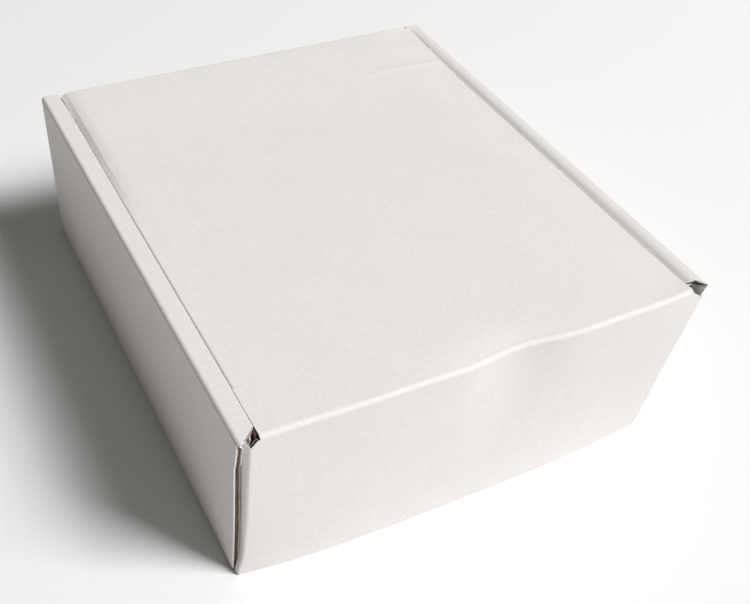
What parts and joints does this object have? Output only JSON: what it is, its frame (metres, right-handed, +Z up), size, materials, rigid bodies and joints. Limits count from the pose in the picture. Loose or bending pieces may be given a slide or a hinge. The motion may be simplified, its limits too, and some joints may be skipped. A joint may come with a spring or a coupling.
{
  "type": "corrugated mailer box",
  "caption": "Roll-end corrugated mailer box with a hinged lid whose tuck flap slides inside the front wall.",
  "frame": {"origin": "on the ground, under the middle of the closed box", "axes": "+Z up, X along the lid's hinge, the hinged back wall at -Y and the front wall, where the lid tucks in, at +Y"},
  "size_m": [0.248, 0.273, 0.102],
  "materials": {
    "tray_board": "matt white paper liner over brown fluting",
    "lid_board": "matt white paper liner over brown fluting"
  },
  "bodies": {
    "tray": {"tray": "tray_board"},
    "lid": {"lid": "lid_board"}
  },
  "joints": [
    {"name": "lid_hinge", "type": "hinge", "parent": "tray", "child": "lid", "pos_m": [0, -0.1365, 0.097], "axis": [1, 0, 0], "range_deg": [0, 180]}
  ]
}
